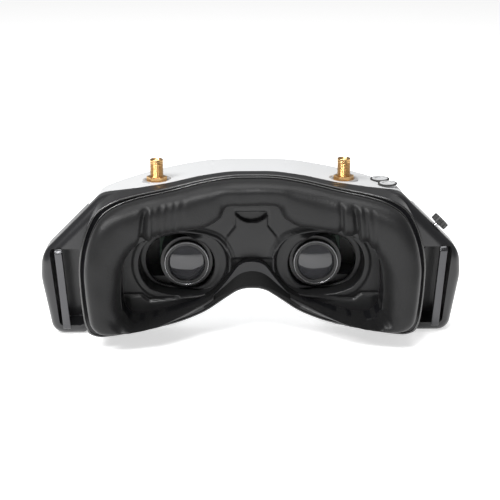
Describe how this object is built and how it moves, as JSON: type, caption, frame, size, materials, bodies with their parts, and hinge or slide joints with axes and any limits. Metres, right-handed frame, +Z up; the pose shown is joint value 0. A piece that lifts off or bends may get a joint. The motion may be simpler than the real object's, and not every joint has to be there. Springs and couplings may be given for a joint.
{
  "type": "fpv goggles",
  "caption": "Head-worn viewer for drone pilots: padded face frame, sliding focusing eyepieces, strap bars, antenna sockets, keys and a dial.",
  "frame": {"origin": "centre of the bounding box's bottom face", "axes": "+X towards the wearer's right hand, +Y away from the face, +Z up"},
  "size_m": [0.189, 0.0882, 0.0767],
  "materials": {
    "shell_white": "glossy light grey moulding",
    "shell_black": "satin to glossy black moulding",
    "frame_black": "matt black moulding",
    "pad_leather": "soft black leather over foam",
    "guard_rubber": "soft black rubber",
    "panel_grey": "matt dark grey moulding",
    "barrel_black": "satin black moulding",
    "lens_glass": "coated dark lens",
    "ring_metal": "black anodised, bright edge",
    "screen_glass": "dark display window",
    "knob_rubber": "ribbed black rubber",
    "bar_metal": "gunmetal bar with bright edges",
    "gold": "gold-plated brass",
    "dish": "pale satin ring",
    "key_grey": "light grey keys",
    "steel": "plain steel",
    "board_green": "printed circuit board",
    "sink_aluminium": "plain aluminium",
    "part_black": "black moulded component"
  },
  "bodies": {
    "housing": {"bridge_cover": "panel_grey", "button_board": "board_green", "dial_encoder": "part_black", "eye_panel": "panel_grey", "face_pad": "pad_leather", "faceplate": "frame_black", "fan_frame": "part_black", "front_shell": "shell_white", "guide_rod_lower_left": "steel", "guide_rod_lower_right": "steel", "guide_rod_upper": "steel", "heat_sink": "sink_aluminium", "main_board": "board_green", "menu_button_switch": "part_black", "nose_guard": "guard_rubber", "power_jack": "part_black", "rear_shell": "shell_black", "receiver_board": "board_green", "receiver_shields": "steel", "record_button_switch": "part_black", "rod_bracket_left": "panel_grey", "rod_bracket_right": "panel_grey", "shell_screws": "steel", "sma_connector_left": "gold", "sma_connector_right": "gold", "sma_dish_left": "dish", "sma_dish_right": "dish", "sma_nut_left": "gold", "sma_nut_right": "gold", "strap_bar_left": "bar_metal", "strap_bar_right": "bar_metal", "video_port": "part_black"},
    "right_eyepiece": {"carriage_right": "panel_grey", "display_right": "panel_grey", "display_glass_right": "screen_glass", "display_board_right": "board_green"},
    "right_barrel": {"lens_barrel_right": "barrel_black", "lens_right": "lens_glass", "lens_ring_right": "ring_metal"},
    "right_focus": {"focus_knob_right": "knob_rubber", "focus_pinion_right": "barrel_black"},
    "left_eyepiece": {"carriage_left": "panel_grey", "display_left": "panel_grey", "display_glass_left": "screen_glass", "display_board_left": "board_green"},
    "left_barrel": {"lens_barrel_left": "barrel_black", "lens_left": "lens_glass", "lens_ring_left": "ring_metal"},
    "left_focus": {"focus_knob_left": "knob_rubber", "focus_pinion_left": "barrel_black"},
    "menu_key": {"menu_button": "key_grey"},
    "record_key": {"record_button": "key_grey"},
    "dial_shaft": {"dial_stem": "steel"},
    "dial_cap": {"dial_knob": "knob_rubber"},
    "fan": {"fan_rotor": "part_black"}
  },
  "joints": [
    {"name": "right_eye_distance", "type": "slide", "parent": "housing", "child": "right_eyepiece", "axis": [1, 0, 0], "range_m": [0, 0.006]},
    {"name": "right_focus_knob_turn", "type": "hinge", "parent": "right_eyepiece", "child": "right_focus", "pos_m": [0.041, 0.00662, 0.0027], "axis": [0, 0, 1], "range_deg": [-28, 28]},
    {"name": "right_barrel_slide", "type": "slide", "parent": "right_eyepiece", "child": "right_barrel", "axis": [0, 1, 0], "range_m": [-0.0019, 0.0019]},
    {"name": "left_eye_distance", "type": "slide", "parent": "housing", "child": "left_eyepiece", "axis": [-1, 0, 0], "range_m": [0, 0.006]},
    {"name": "left_focus_knob_turn", "type": "hinge", "parent": "left_eyepiece", "child": "left_focus", "pos_m": [-0.041, 0.00662, 0.0027], "axis": [0, 0, 1], "range_deg": [-28, 28]},
    {"name": "left_barrel_slide", "type": "slide", "parent": "left_eyepiece", "child": "left_barrel", "axis": [0, 1, 0], "range_m": [-0.0019, 0.0019]},
    {"name": "menu_press", "type": "slide", "parent": "housing", "child": "menu_key", "axis": [0, 0, 1], "range_m": [-0.0008, 0], "stiffness_N_per_m": 400, "springref_m": 0.001},
    {"name": "record_press", "type": "slide", "parent": "housing", "child": "record_key", "axis": [0, 0, 1], "range_m": [-0.0008, 0], "stiffness_N_per_m": 400, "springref_m": 0.001},
    {"name": "dial_press", "type": "slide", "parent": "housing", "child": "dial_shaft", "axis": [0.695, 0, 0.719], "range_m": [-0.0008, 0], "stiffness_N_per_m": 400, "springref_m": 0.001},
    {"name": "dial_turn", "type": "hinge", "parent": "dial_shaft", "child": "dial_cap", "pos_m": [0.0826, -0.00438, 0.0473], "axis": [0.695, 0, 0.719], "continuous": true},
    {"name": "fan_spin", "type": "hinge", "parent": "housing", "child": "fan", "pos_m": [0, 0.00112, 0.0507], "axis": [0, 1, 0], "continuous": true}
  ],
  "couplings": [
    {"joint": "right_focus_knob_turn", "follows": "right_barrel_slide", "rad_per_m": -250},
    {"joint": "left_focus_knob_turn", "follows": "left_barrel_slide", "rad_per_m": 250}
  ]
}
